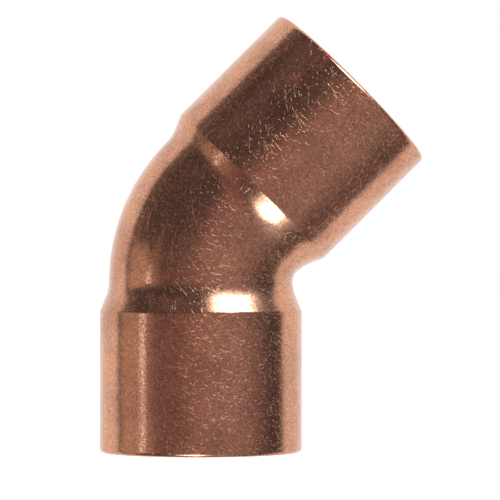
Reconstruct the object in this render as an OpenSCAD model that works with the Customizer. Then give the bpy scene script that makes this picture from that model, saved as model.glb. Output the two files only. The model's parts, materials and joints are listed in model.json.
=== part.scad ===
// Solder-joint pipe elbow: one piece of copper tube, bent, with both ends opened out into sockets.
//
// Frame: the origin is the centre of the lower socket's mouth. +Z runs up that socket's axis, into
// the elbow. The bend lies in the XZ plane and leans the upper socket towards +X. Millimetres.

/* [Tube] */
// Outside diameter of the tube that each socket takes
tube_od = 22; // [15:0.5:54]
// Difference between the socket's bore and the tube, which the solder fills
capillary_gap = 0.12; // [0.06:0.01:0.2]

/* [Wall] */
// Thickness of the copper, the same from mouth to mouth
wall = 1; // [0.9:0.05:2]
// Radius on the outer edge of each mouth
mouth_outer_round = 0.5; // [0.1:0.05:0.55]
// Radius on the inner edge of each mouth, which leads the tube in
mouth_inner_round = 0.25; // [0.05:0.05:0.3]

/* [Sockets] */
// Depth of the straight bore, from the mouth to the tube stop
socket_depth = 16.5; // [8:0.5:40]
// How far the tube stop stands in from the socket's bore
tube_stop = 1.12; // [0.9:0.02:2.4]

/* [Shoulders] */
// Slope of the shoulder against its socket's axis, in degrees
shoulder_slope = 24; // [18:1:30]
// Inside radius where the bore turns into the tube stop
stop_corner_radius = 0.5; // [0.2:0.05:1]
// Outside radius where the shoulder runs out into the bend
shoulder_root_radius = 4.6; // [1:0.1:6]

/* [Bend] */
// Angle between the two sockets' axes, in degrees
bend_angle = 45; // [30:5:90]
// Outside radius of the bend at its throat
throat_radius = 1.6; // [0.5:0.1:30]

/* [Hidden] */

$fn = 96;
// Straight steps in each rounded stretch of the wall's outline
arc_steps = 8;

// Radii of the socket, measured from its axis
socket_bore_r = (tube_od + capillary_gap) / 2;
socket_outer_r = socket_bore_r + wall;

// Radii of the tube in the bend, measured from its centreline
bend_bore_r = socket_bore_r - tube_stop;
bend_outer_r = bend_bore_r + wall;
bend_radius = bend_outer_r + throat_radius;

// The shoulder's two curves share their centres inside and out, so the wall keeps its thickness.
// They may take up most of the step down to the bend, and a straight slope takes up the rest.
curves_share = 0.95;
crest_outer_r = stop_corner_radius + wall;
slope_rise = 1 - cos(shoulder_slope);
root_r = min(shoulder_root_radius, curves_share * tube_stop / slope_rise - crest_outer_r);
slope_length = (tube_stop - (crest_outer_r + root_r) * slope_rise) / sin(shoulder_slope);
shoulder_length = (crest_outer_r + root_r) * sin(shoulder_slope) + slope_length * cos(shoulder_slope);

// Length of one straight leg: its socket and its shoulder
leg_length = socket_depth + shoulder_length;

// Where the bend runs into a leg: how far its surfaces stay inside the leg's wall, and for how long
join_step = 0.02;
join_length = 0.1;
join_angle = join_length / bend_radius * 180 / PI;

// Points on an arc, as [distance from the axis, height], turned from one angle to another
function arc(centre, radius, from, to) = [
    for (i = [0 : arc_steps])
        let (a = from + (to - from) * i / arc_steps)
        centre + radius * [cos(a), sin(a)]
];

// One side of the wall through the shoulder, drawn at the given offset out from the bore
function shoulder_outline(offset) = concat(
    arc([socket_bore_r - stop_corner_radius, socket_depth],
        stop_corner_radius + offset, 0, shoulder_slope),
    arc([bend_outer_r + root_r, leg_length],
        root_r + wall - offset, 180 + shoulder_slope, 180)
);

// The wall of one leg, from the mouth at height 0 to the bend at leg_length
function leg_outline() = concat(
    arc([socket_bore_r + mouth_inner_round, mouth_inner_round], mouth_inner_round, 180, 270),
    arc([socket_outer_r - mouth_outer_round, mouth_outer_round], mouth_outer_round, 270, 360),
    shoulder_outline(wall),
    reversed(shoulder_outline(0))
);

function reversed(points) = [for (i = [len(points) - 1 : -1 : 0]) points[i]];

// A socket with its shoulder, standing on its mouth
module leg() {
    rotate_extrude() polygon(leg_outline());
}

// The curved tube between the legs. It starts inside the lower leg's wall and ends inside the upper
// one's, so that the three always join into one solid.
module bend() {
    translate([bend_radius, 0, leg_length]) mirror([1, 0, 0]) rotate([90, 0, 0])
        rotate_extrude(angle = bend_angle + 2 * join_angle, start = -join_angle)
            translate([bend_radius, 0]) difference() {
                circle(bend_outer_r - join_step);
                circle(bend_bore_r + join_step);
            }
}

// Carries the lower leg round the bend and turns it over, so that its mouth faces up and out
module at_upper_end() {
    translate([bend_radius, 0, leg_length]) rotate([0, bend_angle, 0]) translate([-bend_radius, 0, 0])
        mirror([0, 0, 1]) translate([0, 0, -leg_length]) children();
}

module elbow() {
    color("#b87355") {
        leg();
        bend();
        at_upper_end() leg();
    }
}

elbow();
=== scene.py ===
"""Looks of a solder-joint pipe elbow: its tube, its tumbled copper finish, the studio and the camera.

Lengths are in metres and angles in radians, in the CAD model's own frame: +Z runs up the lower
socket, and the upper socket leans towards +X. The copper's patterns are in millimetres, and the
directions that light comes from are in degrees.
"""

import json
import logging
import math
from dataclasses import dataclass
from enum import Enum

import bmesh
import bpy
from mathutils import Matrix, Vector, noise


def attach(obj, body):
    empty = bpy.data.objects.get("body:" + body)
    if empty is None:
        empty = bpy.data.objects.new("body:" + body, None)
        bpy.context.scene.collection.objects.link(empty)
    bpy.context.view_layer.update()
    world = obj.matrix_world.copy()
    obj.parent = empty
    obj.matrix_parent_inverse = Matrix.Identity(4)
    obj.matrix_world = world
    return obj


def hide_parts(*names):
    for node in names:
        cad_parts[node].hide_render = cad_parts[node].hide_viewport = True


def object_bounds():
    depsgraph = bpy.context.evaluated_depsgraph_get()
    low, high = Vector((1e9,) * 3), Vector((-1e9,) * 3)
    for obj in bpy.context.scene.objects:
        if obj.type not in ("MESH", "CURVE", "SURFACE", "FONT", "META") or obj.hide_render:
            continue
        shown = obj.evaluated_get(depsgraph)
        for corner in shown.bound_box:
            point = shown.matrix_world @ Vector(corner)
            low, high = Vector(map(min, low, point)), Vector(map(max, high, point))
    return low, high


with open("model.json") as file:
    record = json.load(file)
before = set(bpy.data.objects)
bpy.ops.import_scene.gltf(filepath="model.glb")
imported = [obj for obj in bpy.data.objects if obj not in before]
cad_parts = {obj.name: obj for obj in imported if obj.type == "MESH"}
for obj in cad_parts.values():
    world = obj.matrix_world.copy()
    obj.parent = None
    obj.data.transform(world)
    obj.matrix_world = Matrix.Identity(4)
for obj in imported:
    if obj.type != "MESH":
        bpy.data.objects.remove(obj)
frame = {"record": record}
cad_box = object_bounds()

MM = 0.001
log = logging.getLogger("elbow")

Colour = tuple[float, float, float]
Place = tuple[float, float, float]
Feed = bpy.types.NodeSocket | Vector | float | tuple[float, ...]


# ---------------------------------------------------------------- sizes


@dataclass(frozen=True)
class ElbowSizes:
    """Sizes of the elbow's wall, from one mouth to the other.

    The crest is the outside corner where a socket turns into its shoulder, and the root is where
    the shoulder runs out into the bend.
    """

    socket_bore: float
    socket_outer: float
    bend_angle: float
    centre_to_end: float
    tube_stop: float = 1.12 * MM
    throat_radius: float = 1.6 * MM
    shoulder_slope: float = math.radians(24)
    stop_corner_radius: float = 0.5 * MM
    shoulder_crest_radius: float = 0.7 * MM
    shoulder_root_radius: float = 4.6 * MM
    mouth_outer_round: float = 0.5 * MM
    mouth_inner_round: float = 0.25 * MM

    @classmethod
    def from_frame(cls, record: dict, box: tuple[Vector, Vector]) -> "ElbowSizes":
        """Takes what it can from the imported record's mounts and the CAD model's box.

        Args:
            record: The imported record.
            box: Lowest and highest corner of the CAD model.

        Returns:
            The elbow's sizes.
        """
        mounts = {mount["name"]: mount for mount in record["mounts"]}
        upper = mounts["upper_socket"]
        turn = math.atan2(upper["axis"][0], upper["axis"][2])
        return cls(
            socket_bore=mounts["lower_socket"]["dims"]["r_mm"] * MM,
            socket_outer=(box[1].y - box[0].y) / 2,
            bend_angle=turn,
            centre_to_end=upper["pos_m"][0] / math.sin(turn),
        )

    @property
    def wall(self) -> float:
        """Thickness of the copper."""
        return self.socket_outer - self.socket_bore

    @property
    def bend_bore(self) -> float:
        """Radius of the waterway in the bend."""
        return self.socket_bore - self.tube_stop

    @property
    def bend_outer(self) -> float:
        """Outside radius of the tube in the bend."""
        return self.bend_bore + self.wall

    @property
    def bend_radius(self) -> float:
        """Radius of the bend's centreline."""
        return self.bend_outer + self.throat_radius

    @property
    def leg_length(self) -> float:
        """Length of a socket and its shoulder, up to where the bend starts."""
        return self.centre_to_end - self.bend_radius * math.tan(self.bend_angle / 2)

    @property
    def bend_centre(self) -> Vector:
        """The point that the bend turns about."""
        return Vector((self.bend_radius, 0, self.leg_length))

    @property
    def middle_normal(self) -> Vector:
        """Normal of the plane that halves the bend, pointing at the upper half."""
        return Vector((math.sin(self.bend_angle / 2), 0, math.cos(self.bend_angle / 2)))

    @property
    def centreline(self) -> float:
        """Length of the centreline from one mouth to the other."""
        return 2 * self.leg_length + self.bend_radius * self.bend_angle


# ---------------------------------------------------------------- the tube


class Side(Enum):
    """The parts of the wall that carry a finish of their own, by material slot."""

    OUTSIDE = 0
    BORE = 1
    RIM = 2


@dataclass(frozen=True)
class Corner:
    """A corner of the leg's wall outline, and how far back along each side its rounding starts."""

    radius: float
    height: float
    cut_back: float = 0.0


@dataclass(frozen=True)
class Dents:
    """Shallow dents in two sizes, which parts give each other in the tumbling barrel.

    The broad dents have the full depth, and the fine ones a share of it. A shift keeps the two
    patterns apart.
    """

    depth: float = 0.012 * MM
    size: float = 3.2 * MM
    broad_scale: float = 0.5
    fine_depth: float = 0.6
    fine_shift: Place = (7.1, 3.3, 1.9)

    def push(self, place: Vector) -> float:
        """Finds how far out a point of the wall is pushed.

        Args:
            place: The point.

        Returns:
            The distance, below zero for a push inwards.
        """
        spot = place / self.size
        broad = noise.noise(spot * self.broad_scale)
        fine = noise.noise(spot + Vector(self.fine_shift))
        return self.depth * (broad + self.fine_depth * fine)


@dataclass
class ElbowTube:
    """The bent tube with its opened-out ends, in one piece as it is formed.

    A face belongs to the outside or to the bore when it looks that way by at least the cosine
    least_facing, and to a rim when it doesn't.
    """

    sizes: ElbowSizes
    dents: Dents = Dents()
    steps_around: int = 224
    steps_round_bend: int = 18
    corner_steps: int = 7
    ring_spacing: float = 0.4 * MM
    weld: float = 0.0001 * MM
    least_facing: float = 0.35
    girth_map: str = "girth_and_length"

    def build(self) -> bpy.types.Object:
        """Forms the tube and marks it out for its finishes.

        Returns:
            The tube, as an object at the origin.
        """
        bm = bmesh.new()
        self._turn_lower_leg(bm)
        self._sweep_half_bend(bm)
        self._mirror_upper_half(bm)
        self._tumble(bm)
        self._mark_sides(bm)
        self._lay_girth_map(bm)
        mesh = bpy.data.meshes.new("elbow_tube")
        bm.to_mesh(mesh)
        bm.free()
        tube = bpy.data.objects.new("elbow_tube", mesh)
        bpy.context.collection.objects.link(tube)
        return tube

    def _turn_lower_leg(self, bm: bmesh.types.BMesh) -> None:
        """Draws the leg's wall outline, rounds its corners, and turns it about the socket's axis.

        Args:
            bm: The mesh to draw in.
        """
        s = self.sizes
        half_tangent = math.tan(s.shoulder_slope / 2)
        slope = s.tube_stop / math.tan(s.shoulder_slope)
        inner_root_radius = s.shoulder_root_radius + s.wall
        outer_root_z = s.leg_length - s.shoulder_root_radius * half_tangent
        inner_root_z = s.leg_length - inner_root_radius * half_tangent
        corners = (
            Corner(s.bend_bore, s.leg_length),
            Corner(s.bend_bore, inner_root_z, inner_root_radius * half_tangent),
            Corner(s.socket_bore, inner_root_z - slope, s.stop_corner_radius * half_tangent),
            Corner(s.socket_bore, 0.0, s.mouth_inner_round),
            Corner(s.socket_outer, 0.0, s.mouth_outer_round),
            Corner(s.socket_outer, outer_root_z - slope, s.shoulder_crest_radius * half_tangent),
            Corner(s.bend_outer, outer_root_z, s.shoulder_root_radius * half_tangent),
            Corner(s.bend_outer, s.leg_length),
        )
        verts = [bm.verts.new((corner.radius, 0, corner.height)) for corner in corners]
        for start, end in zip(verts, verts[1:]):
            bm.edges.new((start, end))
        for vert, corner in zip(verts, corners):
            if corner.cut_back:
                bmesh.ops.bevel(
                    bm,
                    geom=[vert],
                    offset=corner.cut_back,
                    offset_type="OFFSET",
                    affect="VERTICES",
                    segments=self.corner_steps,
                    profile=0.5,
                    material=-1,
                )
        for edge in list(bm.edges):
            cuts = math.ceil(edge.calc_length() / self.ring_spacing) - 1
            if cuts > 0:
                bmesh.ops.subdivide_edges(bm, edges=[edge], cuts=cuts)
        bmesh.ops.spin(
            bm,
            geom=bm.verts[:] + bm.edges[:],
            cent=(0, 0, 0),
            axis=(0, 0, 1),
            angle=2 * math.pi,
            steps=self.steps_around,
            use_merge=True,
        )

    def _sweep_half_bend(self, bm: bmesh.types.BMesh) -> None:
        """Carries the leg's open end round the first half of the bend.

        Args:
            bm: The mesh that holds the lower leg.
        """
        s = self.sizes
        open_end = [part for part in bm.verts[:] + bm.edges[:] if part.is_boundary]
        bmesh.ops.spin(
            bm,
            geom=open_end,
            cent=s.bend_centre,
            axis=(0, 1, 0),
            angle=s.bend_angle / 2,
            steps=self.steps_round_bend,
        )

    def _mirror_upper_half(self, bm: bmesh.types.BMesh) -> None:
        """Copies the finished half across the bend's middle plane and welds the two.

        The distance below zero turns off the operator's own welding, which picks wrong vertices.

        Args:
            bm: The mesh that holds the lower half.
        """
        s = self.sizes
        to_plane = Matrix.Translation(s.bend_centre) @ Matrix.Rotation(
            s.bend_angle / 2 - math.pi / 2, 4, "Y"
        )
        bmesh.ops.mirror(
            bm,
            geom=bm.verts[:] + bm.edges[:] + bm.faces[:],
            matrix=to_plane.inverted(),
            merge_dist=-self.weld,
            axis="X",
        )
        bmesh.ops.remove_doubles(bm, verts=bm.verts, dist=self.weld)
        bmesh.ops.recalc_face_normals(bm, faces=bm.faces)

    def _tumble(self, bm: bmesh.types.BMesh) -> None:
        """Knocks the dents into the wall.

        Args:
            bm: The mesh of the whole tube.
        """
        bm.normal_update()
        moves = [vert.normal * self.dents.push(vert.co) for vert in bm.verts]
        for vert, move in zip(bm.verts, moves):
            vert.co += move

    def _unrolled(self, point: Vector) -> tuple[float, float, Vector]:
        """Finds where a point of the wall lies round and along the tube.

        Args:
            point: A point on the tube.

        Returns:
            The angle round the tube from its front, the distance along its centreline from the
            lower mouth, and the direction out from the centreline.
        """
        s = self.sizes
        beyond = (point - s.bend_centre).dot(s.middle_normal)
        upper = beyond > 0
        local = point - 2 * beyond * s.middle_normal if upper else point.copy()
        along = local.z
        across = local.x
        lean = 0.0
        if local.z > s.leg_length:
            arm = s.bend_centre - local
            lean = math.atan2(-arm.z, arm.x)
            along = s.leg_length + s.bend_radius * lean
            across = s.bend_radius - math.hypot(arm.x, arm.z)
        outward = Vector((across * math.cos(lean), local.y, -across * math.sin(lean)))
        if upper:
            outward -= 2 * outward.dot(s.middle_normal) * s.middle_normal
            along = s.centreline - along
        return math.atan2(across, -local.y), along, outward.normalized()

    def _mark_sides(self, bm: bmesh.types.BMesh) -> None:
        """Gives each face the slot of the finish it carries, and smooth shading.

        Args:
            bm: The mesh of the whole tube.
        """
        for face in bm.faces:
            _, _, outward = self._unrolled(face.calc_center_median())
            facing = face.normal.dot(outward)
            side = Side.RIM
            if facing > self.least_facing:
                side = Side.OUTSIDE
            elif facing < -self.least_facing:
                side = Side.BORE
            face.material_index = side.value
            face.smooth = True

    def _lay_girth_map(self, bm: bmesh.types.BMesh) -> None:
        """Unrolls the wall into a flat map in millimetres, girth across and length up.

        The map's ends meet at the back, and a face there keeps all its corners at one end.

        Args:
            bm: The mesh of the whole tube.
        """
        layer = bm.loops.layers.uv.new(self.girth_map)
        girth = self.sizes.socket_outer / MM
        for face in bm.faces:
            centre_angle, _, _ = self._unrolled(face.calc_center_median())
            for loop in face.loops:
                angle, along, _ = self._unrolled(loop.vert.co)
                if angle - centre_angle > math.pi:
                    angle -= 2 * math.pi
                elif centre_angle - angle > math.pi:
                    angle += 2 * math.pi
                loop[layer].uv = (angle * girth, along / MM)


# ---------------------------------------------------------------- node helpers


def opaque(colour: Colour) -> tuple[float, ...]:
    """Returns a colour with full alpha, as colour sockets take it."""
    return (*colour, 1.0)


@dataclass(frozen=True)
class Cloud:
    """A noise pattern, and the span of its values over which it fades in."""

    scale: float
    detail: float
    roughness: float
    low: float = 0.0
    high: float = 1.0


class Graph:
    """Writes shader nodes into a tree with short calls."""

    def __init__(self, tree: bpy.types.NodeTree) -> None:
        """Keeps the tree to write into."""
        self.tree = tree

    def node(
        self, kind: str, settings: dict[str, object] | None = None, **inputs: Feed
    ) -> bpy.types.Node:
        """Adds a node.

        Args:
            kind: The node's type name.
            settings: The node's own properties.
            **inputs: A value or an output socket for each input, by name with _ for a space.

        Returns:
            The node.
        """
        node = self.tree.nodes.new(kind)
        for name, setting in (settings or {}).items():
            setattr(node, name, setting)
        for name, value in inputs.items():
            self.feed(node.inputs[name.replace("_", " ")], value)
        return node

    def feed(self, socket: bpy.types.NodeSocket, value: Feed) -> None:
        """Links an output to a socket, or sets the socket's own value.

        Args:
            socket: The input to feed.
            value: An output socket, or a value.
        """
        if isinstance(value, bpy.types.NodeSocket):
            self.tree.links.new(value, socket)
        else:
            socket.default_value = value

    def math(self, operation: str, *values: Feed) -> bpy.types.NodeSocket:
        """Adds a Math node.

        Args:
            operation: What it works out.
            *values: What it works on, in the order of its inputs.

        Returns:
            Its result.
        """
        node = self.node("ShaderNodeMath", {"operation": operation})
        for socket, value in zip(node.inputs, values):
            self.feed(socket, value)
        return node.outputs["Value"]

    def vector(self, operation: str, *values: Feed, result: str = "Vector") -> bpy.types.NodeSocket:
        """Adds a Vector Math node.

        Args:
            operation: What it works out.
            *values: What it works on, in the order of its inputs.
            result: The output to take, Vector or Value.

        Returns:
            Its result.
        """
        node = self.node("ShaderNodeVectorMath", {"operation": operation})
        for socket, value in zip(node.inputs, values):
            self.feed(socket, value)
        return node.outputs[result]

    def noise(self, place: Feed, cloud: Cloud) -> bpy.types.NodeSocket:
        """Adds a noise pattern, without its fade.

        Args:
            place: Where on the surface it is.
            cloud: The pattern.

        Returns:
            Its value.
        """
        return self.node(
            "ShaderNodeTexNoise",
            Vector=place,
            Scale=cloud.scale,
            Detail=cloud.detail,
            Roughness=cloud.roughness,
        ).outputs["Fac"]

    def cloud(self, place: Feed, cloud: Cloud) -> bpy.types.NodeSocket:
        """Adds a noise pattern and fades it in over its span.

        Args:
            place: Where on the surface it is.
            cloud: The pattern.

        Returns:
            A mask.
        """
        return self.ramp(self.noise(place, cloud), cloud.low, cloud.high)

    def ramp(
        self, value: Feed, low: Feed, high: Feed, start: float = 0.0, end: float = 1.0
    ) -> bpy.types.NodeSocket:
        """Maps a span of values smoothly onto another.

        Args:
            value: What is mapped.
            low: The value that becomes start.
            high: The value that becomes end.
            start: The result at low.
            end: The result at high.

        Returns:
            The result.
        """
        node = self.node("ShaderNodeMapRange", {"interpolation_type": "SMOOTHSTEP"}, Value=value)
        for name, limit in (("From Min", low), ("From Max", high), ("To Min", start), ("To Max", end)):
            self.feed(node.inputs[name], limit)
        return node.outputs["Result"]

    def mix(self, share: Feed, first: Feed, second: Feed, blend: str = "MIX") -> bpy.types.NodeSocket:
        """Mixes two colours.

        Args:
            share: How much of the second is in the mix.
            first: The first colour.
            second: The second colour.
            blend: How they are mixed.

        Returns:
            The mix.
        """
        node = self.node("ShaderNodeMix", {"data_type": "RGBA", "blend_type": blend})
        self.feed(node.inputs["Factor"], share)
        self.feed(node.inputs["A"], first)
        self.feed(node.inputs["B"], second)
        return node.outputs["Result"]

    def group(
        self, tree: bpy.types.NodeTree, label: str = "", **inputs: Feed
    ) -> bpy.types.bpy_prop_collection:
        """Places a node group.

        Args:
            tree: The group.
            label: What this one is for.
            **inputs: A value or an output socket for each input, by name with _ for a space.

        Returns:
            Its outputs.
        """
        return self.node("ShaderNodeGroup", {"node_tree": tree, "label": label}, **inputs).outputs


class Kind(Enum):
    """The kinds of value that go in and out of a node group, by socket type."""

    NUMBER = "NodeSocketFloat"
    VECTOR = "NodeSocketVector"
    COLOUR = "NodeSocketColor"


class GroupGraph(Graph):
    """Writes the inside of a new shader node group."""

    def __init__(self, name: str, inputs: dict[str, Kind], outputs: dict[str, Kind]) -> None:
        """Starts the group, with the inside ends of its sockets as given and results.

        Args:
            name: The group's name.
            inputs: Kind of each input, by name.
            outputs: Kind of each output, by name.
        """
        super().__init__(bpy.data.node_groups.new(name, "ShaderNodeTree"))
        for in_out, sockets in (("INPUT", inputs), ("OUTPUT", outputs)):
            for socket_name, kind in sockets.items():
                self.tree.interface.new_socket(socket_name, in_out=in_out, socket_type=kind.value)
        self.given = self.node("NodeGroupInput").outputs
        self.results = self.node("NodeGroupOutput").inputs


# ---------------------------------------------------------------- shared effects


@dataclass(frozen=True)
class Scratches:
    """Short strokes that lie every way but favour one, one stroke to a cell of the flat map.

    Half-lengths and the bow are shares of the cell, the spread of directions is in radians, and
    the least half-width is in millimetres.
    """

    spread: float = 2.1
    shortest: float = 0.12
    longer_by: float = 0.45
    bow: float = 0.03
    least_half_width: float = 0.001

    def group(self) -> bpy.types.NodeTree:
        """Makes the node group.

        Returns:
            The group, which puts out a mask of the strokes.
        """
        g = GroupGraph(
            "tumbling scratches",
            {
                "Map": Kind.VECTOR,
                "Cell": Kind.NUMBER,
                "Width": Kind.NUMBER,
                "Share": Kind.NUMBER,
                "Lean": Kind.NUMBER,
            },
            {"Mask": Kind.NUMBER},
        )
        flat, cell = g.given["Map"], g.given["Cell"]
        cells = g.node(
            "ShaderNodeTexVoronoi",
            {"voronoi_dimensions": "2D", "feature": "F1"},
            Vector=flat,
            Scale=g.math("DIVIDE", 1.0, cell),
        ).outputs
        chance = g.node("ShaderNodeSeparateColor", Color=cells["Color"]).outputs
        local = g.vector("SUBTRACT", flat, cells["Position"])
        off_middle = g.math("SUBTRACT", chance["Red"], 0.5)
        turn = g.math("MULTIPLY_ADD", off_middle, self.spread, g.given["Lean"])
        turned = g.node("ShaderNodeVectorRotate", {"rotation_type": "Z_AXIS"}, Vector=local, Angle=turn)
        place = g.node("ShaderNodeSeparateXYZ", Vector=turned.outputs["Vector"]).outputs
        length_share = g.math("MULTIPLY_ADD", chance["Green"], self.longer_by, self.shortest)
        reach = g.math("DIVIDE", place["X"], g.math("MULTIPLY", cell, length_share))
        reach_squared = g.math("MULTIPLY", reach, reach)
        bend = g.math("MULTIPLY", reach_squared, g.math("MULTIPLY", cell, self.bow))
        across = g.math("ABSOLUTE", g.math("SUBTRACT", place["Y"], bend))
        taper = g.math("SUBTRACT", 1.0, reach_squared)
        tapered_width = g.math("MULTIPLY", g.given["Width"], taper)
        half_width = g.math("MAXIMUM", tapered_width, self.least_half_width)
        line = g.math("SUBTRACT", 1.0, g.math("DIVIDE", across, half_width))
        kept = g.math("LESS_THAN", chance["Blue"], g.given["Share"])
        mask = g.math("MULTIPLY", g.math("MAXIMUM", line, 0.0), kept)
        within = g.math("GREATER_THAN", taper, 0.0)
        g.feed(g.results["Mask"], g.math("MULTIPLY", mask, within))
        return g.tree


@dataclass(frozen=True)
class Pits:
    """The fine pitting that the tumbling stones leave, over a broader unevenness."""

    fine: Cloud = Cloud(scale=5.0, detail=4.0, roughness=0.65, low=0.42, high=0.68)
    broad: Cloud = Cloud(scale=0.9, detail=2.0, roughness=0.5)
    fine_height: float = 0.8

    def group(self) -> bpy.types.NodeTree:
        """Makes the node group.

        Returns:
            The group, which puts out a height in millimetres and a mask of the pits.
        """
        g = GroupGraph(
            "tumbling pits",
            {"Place": Kind.VECTOR, "Depth": Kind.NUMBER},
            {"Height": Kind.NUMBER, "Mask": Kind.NUMBER},
        )
        fine = g.noise(g.given["Place"], self.fine)
        broad = g.noise(g.given["Place"], self.broad)
        height = g.math("MULTIPLY_ADD", fine, self.fine_height, broad)
        g.feed(g.results["Height"], g.math("MULTIPLY", height, g.given["Depth"]))
        g.feed(g.results["Mask"], g.ramp(fine, self.fine.low, self.fine.high))
        return g.tree


@dataclass(frozen=True)
class Stain:
    """One kind of stain: its pattern, its colour, and how strong it is beside the others.

    A stain that lies apart has its pattern moved, so that it doesn't follow the others.
    """

    cloud: Cloud
    colour: Colour
    strength: float = 1.0
    apart: bool = False


@dataclass(frozen=True)
class Tarnish:
    """Cloudy stains and specks over clean copper, each laid over the one before."""

    stains: tuple[Stain, ...]
    shift: Place = (31.0, 17.0, 5.0)

    def group(self) -> bpy.types.NodeTree:
        """Makes the node group.

        Returns:
            The group, which puts out the stained colour.
        """
        g = GroupGraph(
            "tarnish",
            {"Place": Kind.VECTOR, "Copper": Kind.COLOUR, "Amount": Kind.NUMBER},
            {"Color": Kind.COLOUR},
        )
        place, moved = g.given["Place"], g.vector("ADD", g.given["Place"], self.shift)
        colour = g.given["Copper"]
        for stain in self.stains:
            mask = g.cloud(moved if stain.apart else place, stain.cloud)
            strength = g.math("MULTIPLY", g.given["Amount"], stain.strength)
            colour = g.mix(g.math("MULTIPLY", mask, strength), colour, opaque(stain.colour))
        g.feed(g.results["Color"], colour)
        return g.tree


PURPLE_BLOOM = Stain(Cloud(0.16, 5.0, 0.65, low=0.46, high=0.72), (0.50, 0.235, 0.20))
OLIVE_BLOOM = Stain(Cloud(0.22, 5.0, 0.6, low=0.48, high=0.74), (0.52, 0.33, 0.19), apart=True)
BROWN_SPOTS = Stain(Cloud(1.6, 4.0, 0.7, low=0.4, high=0.75), (0.46, 0.23, 0.17), strength=0.5)
DARK_SPECKS = Stain(
    Cloud(3.6, 4.0, 0.75, low=0.45, high=0.6), (0.36, 0.165, 0.115), strength=1.1, apart=True
)


@dataclass(frozen=True)
class InkSmear:
    """A faint, broken smear of marking ink on the flat map.

    The ink is whole inside the inner radius and gone at the outer one, as shares of its size.
    """

    inner: float = 0.3
    outer: float = 1.0
    broken: Cloud = Cloud(1.9, 3.0, 0.7, low=0.45, high=0.62)

    def group(self) -> bpy.types.NodeTree:
        """Makes the node group.

        Returns:
            The group, which puts out a mask of the ink.
        """
        g = GroupGraph(
            "ink smear",
            {"Map": Kind.VECTOR, "Centre": Kind.VECTOR, "Size": Kind.VECTOR},
            {"Mask": Kind.NUMBER},
        )
        away = g.vector("SUBTRACT", g.given["Map"], g.given["Centre"])
        distance = g.vector("LENGTH", g.vector("DIVIDE", away, g.given["Size"]), result="Value")
        inside = g.ramp(distance, self.outer, self.inner)
        mask = g.math("MULTIPLY", inside, g.cloud(g.given["Map"], self.broken))
        g.feed(g.results["Mask"], mask)
        return g.tree


# ---------------------------------------------------------------- finishes


@dataclass(frozen=True)
class ScratchLayer:
    """Scratches of one size.

    The cell that each lies in and its half-width are in millimetres, the share says how many cells
    hold one, and the lean is the way they favour, in radians.
    """

    cell: float
    width: float
    share: float
    lean: float


@dataclass(frozen=True)
class Smear:
    """Where an ink smear lies on the flat map, round and along, and how far it reaches, in mm."""

    around: float
    along: float
    half_width: float
    half_length: float


@dataclass(frozen=True)
class CopperFinish:
    """How one part of the copper has been worked, and what it has picked up since.

    Depths are in millimetres.
    """

    name: str
    copper: Colour
    roughness: float
    scratched_roughness: float
    pit_depth: float
    scratch_depth: float
    tarnish: float
    scratches: tuple[ScratchLayer, ...]
    smears: tuple[Smear, ...] = ()


TUMBLED = CopperFinish(
    name="tumbled_copper",
    copper=(0.95, 0.52, 0.35),
    roughness=0.165,
    scratched_roughness=0.45,
    pit_depth=0.009,
    scratch_depth=0.0085,
    tarnish=0.55,
    scratches=(
        ScratchLayer(cell=2.9, width=0.032, share=0.55, lean=0.8),
        ScratchLayer(cell=2.1, width=0.028, share=0.6, lean=0.6),
        ScratchLayer(cell=1.5, width=0.026, share=0.65, lean=0.9),
        ScratchLayer(cell=0.9, width=0.022, share=0.75, lean=0.5),
        ScratchLayer(cell=0.5, width=0.020, share=0.7, lean=0.0),
    ),
    smears=(
        Smear(around=-4.9, along=49.3, half_width=1.1, half_length=2.4),
        Smear(around=-5.6, along=45.4, half_width=0.9, half_length=1.8),
        Smear(around=-6.9, along=33.0, half_width=0.6, half_length=1.0),
    ),
)
DRAWN_BORE = CopperFinish(
    name="drawn_copper_bore",
    copper=(0.84, 0.50, 0.36),
    roughness=0.34,
    scratched_roughness=0.55,
    pit_depth=0.003,
    scratch_depth=0.004,
    tarnish=0.35,
    scratches=(ScratchLayer(cell=1.4, width=0.05, share=0.5, lean=1.5),),
)
CUT_RIM = CopperFinish(
    name="cut_copper_rim",
    copper=(0.86, 0.53, 0.39),
    roughness=0.30,
    scratched_roughness=0.5,
    pit_depth=0.003,
    scratch_depth=0.004,
    tarnish=0.2,
    scratches=(ScratchLayer(cell=0.5, width=0.05, share=0.6, lean=0.2),),
)


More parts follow.
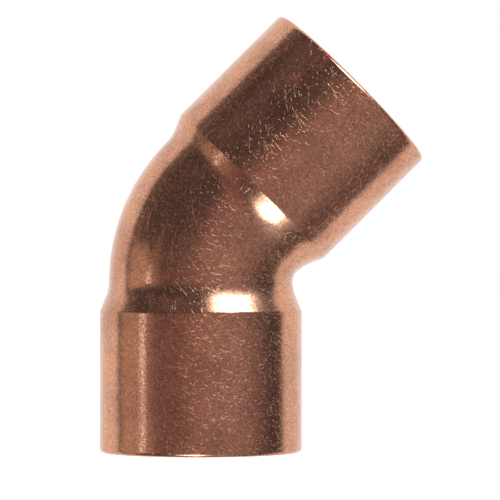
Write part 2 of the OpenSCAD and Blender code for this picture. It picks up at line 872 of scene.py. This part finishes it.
@dataclass
class CopperShop:
    """Makes the copper's materials out of the shared effects.

    The flat map is the name of the UV map that holds girth and length in millimetres. A scratch
    bares fresh copper in part, a pit dulls it in part, and ink covers it in part.
    """

    flat_map: str
    fresh_copper: Colour = (0.98, 0.68, 0.54)
    bared: float = 0.5
    pit_dullness: float = 0.4
    ink: Colour = (0.60, 0.09, 0.09)
    ink_cover: float = 0.5

    def __post_init__(self) -> None:
        """Makes the shared effects."""
        self.scratches = Scratches().group()
        self.pits = Pits().group()
        self.tarnish = Tarnish((PURPLE_BLOOM, OLIVE_BLOOM, BROWN_SPOTS, DARK_SPECKS)).group()
        self.smear = InkSmear().group()

    def material(self, finish: CopperFinish) -> bpy.types.Material:
        """Makes one material.

        Args:
            finish: What it should look like.

        Returns:
            The material.
        """
        material = bpy.data.materials.new(finish.name)
        material.use_nodes = True
        g = Graph(material.node_tree)
        shader = material.node_tree.nodes["Principled BSDF"].inputs
        g.feed(shader["Metallic"], 1.0)
        flat = g.node("ShaderNodeUVMap", {"uv_map": self.flat_map}).outputs["UV"]
        metres = g.node("ShaderNodeTexCoord").outputs["Object"]
        place = g.vector("MULTIPLY", metres, (1 / MM, 1 / MM, 1 / MM))
        colour = g.group(
            self.tarnish, Place=place, Copper=opaque(finish.copper), Amount=finish.tarnish
        )["Color"]
        if finish.smears:
            ink = self._smeared(g, flat, finish.smears)
            colour = g.mix(ink, colour, opaque(self.ink))
            g.feed(shader["Metallic"], g.math("MULTIPLY_ADD", ink, -self.ink_cover, 1.0))
        strokes = self._scratched(g, flat, finish.scratches)
        colour = g.mix(g.math("MULTIPLY", strokes, self.bared), colour, opaque(self.fresh_copper))
        g.feed(shader["Base Color"], colour)
        pits = g.group(self.pits, Place=place, Depth=finish.pit_depth)
        worn = g.math("MAXIMUM", strokes, g.math("MULTIPLY", pits["Mask"], self.pit_dullness))
        dulled = g.ramp(worn, 0.0, 1.0, finish.roughness, finish.scratched_roughness)
        g.feed(shader["Roughness"], dulled)
        furrows = g.math("MULTIPLY", strokes, finish.scratch_depth)
        height = g.math("SUBTRACT", pits["Height"], furrows)
        bump = g.node("ShaderNodeBump", Strength=1.0, Distance=MM, Height=height)
        g.feed(shader["Normal"], bump.outputs["Normal"])
        return material

    def _smeared(
        self, g: Graph, flat: bpy.types.NodeSocket, smears: tuple[Smear, ...]
    ) -> bpy.types.NodeSocket:
        """Adds the ink smears.

        Args:
            g: The material's nodes.
            flat: The flat map.
            smears: The smears.

        Returns:
            A mask of the ink.
        """
        ink = 0.0
        for smear in smears:
            mask = g.group(
                self.smear,
                Map=flat,
                Centre=(smear.around, smear.along, 0),
                Size=(smear.half_width, smear.half_length, 1),
            )["Mask"]
            ink = g.math("MAXIMUM", ink, mask)
        return ink

    def _scratched(
        self, g: Graph, flat: bpy.types.NodeSocket, layers: tuple[ScratchLayer, ...]
    ) -> bpy.types.NodeSocket:
        """Adds the scratches.

        Args:
            g: The material's nodes.
            flat: The flat map.
            layers: The scratches, by size.

        Returns:
            A mask of the scratches.
        """
        strokes = 0.0
        for layer in layers:
            mask = g.group(
                self.scratches,
                Map=flat,
                Cell=layer.cell,
                Width=layer.width,
                Share=layer.share,
                Lean=layer.lean,
            )["Mask"]
            strokes = g.math("MAXIMUM", strokes, mask)
        return strokes


# ---------------------------------------------------------------- the studio


WHITE: Colour = (1.0, 1.0, 1.0)


@dataclass(frozen=True)
class Glow:
    """A soft-edged patch of light around the elbow, in degrees as the elbow sees it.

    Azimuth 0 is the side that the camera looks from, and 90 is +X.
    """

    name: str
    azimuth: float
    elevation: float
    half_width: float
    half_height: float
    softness: float
    strength: float
    tint: Colour = WHITE

    @property
    def light(self) -> Colour:
        """Colour of the light, as strong as it is."""
        return tuple(self.strength * part for part in self.tint)


# Name, azimuth, elevation, half-width, half-height, softness, strength and tint of each
SURROUNDINGS = (
    Glow("dim room", 0, 0, 200, 100, 1, 0.074, (1.15, 0.98, 1.02)),
    Glow("low front", -30, -8, 36, 14, 12, 0.075, (1.7, 0.86, 0.78)),
    Glow("high front", -44, 48, 30, 8, 10, 0.05, (1.5, 0.95, 0.85)),
    Glow("brown card, left", -89, -12, 14.5, 24, 2.5, 0.36, (1.2, 0.88, 0.66)),
    Glow("edge of the card, raised", -100, 32, 3, 24, 2, 0.12, (1.2, 0.90, 0.72)),
    Glow("slit beside the card", -70.5, -4, 1.1, 8, 1.0, 3.4),
    Glow("strip beyond the slit", -62, -10, 6, 24, 4, 0.12, (1.25, 0.88, 0.66)),
    Glow("front bounce", 29, -6, 34, 26, 30, 0.22, (1.25, 0.93, 0.88)),
    Glow("right bounce", 78, -48, 44, 28, 18, 0.05, (1.35, 0.90, 0.78)),
    Glow("upper softbox", 44, 46, 25, 14.5, 10, 6.0),
    Glow("upper softbox's spill", 60, 44, 40, 12, 30, 0.5),
    Glow("lower softbox", -13, -60, 15.2, 15, 9, 6.0),
    Glow("lower softbox's spill", 4, -60, 48, 14, 28, 0.55),
)


def glow_group() -> bpy.types.NodeTree:
    """Makes the node group of a soft-edged patch of directions.

    Returns:
        The group, which puts out a mask of the patch.
    """
    g = GroupGraph(
        "glow patch",
        {
            "Azimuth": Kind.NUMBER,
            "Elevation": Kind.NUMBER,
            "Middle Azimuth": Kind.NUMBER,
            "Middle Elevation": Kind.NUMBER,
            "Half Width": Kind.NUMBER,
            "Half Height": Kind.NUMBER,
            "Softness": Kind.NUMBER,
        },
        {"Mask": Kind.NUMBER},
    )
    half_turn = 180.0
    turned = g.math("SUBTRACT", g.given["Azimuth"], g.given["Middle Azimuth"])
    aside = g.math("ABSOLUTE", g.math("WRAP", turned, half_turn, -half_turn))
    above = g.math("ABSOLUTE", g.math("SUBTRACT", g.given["Elevation"], g.given["Middle Elevation"]))
    masks = []
    for distance, half in ((aside, g.given["Half Width"]), (above, g.given["Half Height"])):
        gone = g.math("ADD", half, g.given["Softness"])
        full = g.math("SUBTRACT", half, g.given["Softness"])
        masks.append(g.ramp(distance, gone, full))
    g.feed(g.results["Mask"], g.math("MULTIPLY", *masks))
    return g.tree


@dataclass(frozen=True)
class Backdrop:
    """The white sweep behind the elbow, as a share of the way towards its middle.

    Its edge and its brighter middle each fade in over a span of that share.
    """

    way: Place = (0.0375, 0.9993, 0.0)
    edge: tuple[float, float] = (0.276, 0.336)
    light: Colour = (0.86, 0.77, 0.70)
    middle: tuple[float, float] = (0.72, 0.98)
    middle_light: Colour = (0.97, 0.97, 0.97)


@dataclass(frozen=True)
class Floor:
    """The pale floor, with a glow of its own that brings it up to the white behind it."""

    half: float = 1.2
    shade: Colour = (0.85, 0.85, 0.85)
    glow: float = 0.76

    def build(self) -> bpy.types.Object:
        """Lays the floor, which only the camera sees, so that light can come from below.

        Returns:
            The floor.
        """
        bm = bmesh.new()
        bmesh.ops.create_grid(bm, x_segments=1, y_segments=1, size=self.half)
        mesh = bpy.data.meshes.new("floor")
        bm.to_mesh(mesh)
        bm.free()
        mesh.materials.append(self._paint())
        floor = bpy.data.objects.new("floor", mesh)
        bpy.context.collection.objects.link(floor)
        floor.visible_glossy = False
        floor.visible_diffuse = False
        floor.visible_shadow = False
        return floor

    def _paint(self) -> bpy.types.Material:
        """Makes the floor's flat white.

        Returns:
            The material.
        """
        material = bpy.data.materials.new("white_sweep")
        material.use_nodes = True
        shader = material.node_tree.nodes["Principled BSDF"].inputs
        shader["Base Color"].default_value = opaque(self.shade)
        shader["Roughness"].default_value = 1.0
        shader["Specular IOR Level"].default_value = 0.0
        shader["Emission Color"].default_value = opaque(WHITE)
        shader["Emission Strength"].default_value = self.glow
        return material


@dataclass(frozen=True)
class Studio:
    """A white sweep lit by soft light from all round, darker on the camera's side."""

    glows: tuple[Glow, ...] = SURROUNDINGS
    backdrop: Backdrop = Backdrop()
    floor: Floor = Floor()

    def build(self) -> None:
        """Makes the surroundings and the floor."""
        self._surround()
        self.floor.build()
        bpy.context.scene.view_settings.view_transform = "Standard"

    def _surround(self) -> None:
        """Paints the light on the world, and plain white for the camera."""
        world = bpy.data.worlds.new("studio")
        bpy.context.scene.world = world
        world.use_nodes = True
        world.node_tree.nodes.clear()
        g = Graph(world.node_tree)
        way = g.node("ShaderNodeTexCoord").outputs["Generated"]
        light = self._hang_backdrop(g, way, self._patches(g, way))
        around = g.node("ShaderNodeBackground", Color=light)
        white = g.node("ShaderNodeBackground", Color=opaque(WHITE))
        camera_ray = g.node("ShaderNodeLightPath").outputs["Is Camera Ray"]
        both = g.node("ShaderNodeMixShader", Fac=camera_ray)
        g.feed(both.inputs[1], around.outputs["Background"])
        g.feed(both.inputs[2], white.outputs["Background"])
        g.node("ShaderNodeOutputWorld", Surface=both.outputs["Shader"])

    def _patches(self, g: Graph, way: bpy.types.NodeSocket) -> bpy.types.NodeSocket:
        """Adds up the patches of light.

        Args:
            g: The world's nodes.
            way: The direction that is looked at.

        Returns:
            The light that comes from there.
        """
        part = g.node("ShaderNodeSeparateXYZ", Vector=way).outputs
        front = g.math("MULTIPLY", part["Y"], -1.0)
        azimuth = g.math("DEGREES", g.math("ARCTAN2", part["X"], front))
        elevation = g.math("DEGREES", g.math("ARCSINE", part["Z"]))
        patch = glow_group()
        light = (0.0, 0.0, 0.0, 1.0)
        for glow in self.glows:
            mask = g.group(
                patch,
                glow.name,
                Azimuth=azimuth,
                Elevation=elevation,
                Middle_Azimuth=glow.azimuth,
                Middle_Elevation=glow.elevation,
                Half_Width=glow.half_width,
                Half_Height=glow.half_height,
                Softness=glow.softness,
            )["Mask"]
            light = g.mix(mask, light, g.mix(1.0, light, opaque(glow.light), "ADD"))
        return light

    def _hang_backdrop(
        self, g: Graph, way: bpy.types.NodeSocket, light: bpy.types.NodeSocket
    ) -> bpy.types.NodeSocket:
        """Puts the backdrop behind the elbow, in place of the light that is there.

        Args:
            g: The world's nodes.
            way: The direction that is looked at.
            light: The light without the backdrop.

        Returns:
            The light with it.
        """
        behind = g.vector("DOT_PRODUCT", way, self.backdrop.way, result="Value")
        middle = g.ramp(behind, *self.backdrop.middle)
        sweep = g.mix(middle, opaque(self.backdrop.light), opaque(self.backdrop.middle_light))
        return g.mix(g.ramp(behind, *self.backdrop.edge), light, sweep)


# ---------------------------------------------------------------- the camera


@dataclass(frozen=True)
class Viewpoint:
    """A long lens that looks level at the elbow's flat side."""

    distance: float = 412.5 * MM
    lens: float = 249.0
    yaw: float = math.radians(1.86)
    right_of_bend: float = 5.86 * MM
    below_bend: float = 1.44 * MM

    def place(self, bend_corner: Vector) -> bpy.types.Object:
        """Makes the scene's camera.

        Args:
            bend_corner: Where the two sockets' axes meet.

        Returns:
            The camera.
        """
        forward = Vector((math.sin(self.yaw), math.cos(self.yaw), 0))
        right = Vector((math.cos(self.yaw), -math.sin(self.yaw), 0))
        data = bpy.data.cameras.new("camera")
        data.lens = self.lens
        data.clip_start = 10 * MM
        camera = bpy.data.objects.new("camera", data)
        aim = bend_corner + self.right_of_bend * right - Vector((0, 0, self.below_bend))
        camera.location = aim - self.distance * forward
        camera.rotation_mode = "QUATERNION"
        camera.rotation_quaternion = forward.to_track_quat("-Z", "Y")
        bpy.context.collection.objects.link(camera)
        bpy.context.scene.camera = camera
        return camera


def main() -> None:
    """Builds the elbow, the studio and the camera, and reports each piece."""
    logging.basicConfig(level=logging.INFO, format="%(message)s")
    sizes = ElbowSizes.from_frame(frame["record"], cad_box)
    former = ElbowTube(sizes)
    tube = former.build()
    shop = CopperShop(former.girth_map)
    for finish in (TUMBLED, DRAWN_BORE, CUT_RIM):
        tube.data.materials.append(shop.material(finish))
    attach(tube, "root")
    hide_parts("elbow")
    log.info("%s: %d faces, in %s", tube.name, len(tube.data.polygons), tube.data.materials.keys())
    Studio().build()
    Viewpoint().place(Vector((0, 0, sizes.centre_to_end)))


if __name__ == "__main__":
    main()
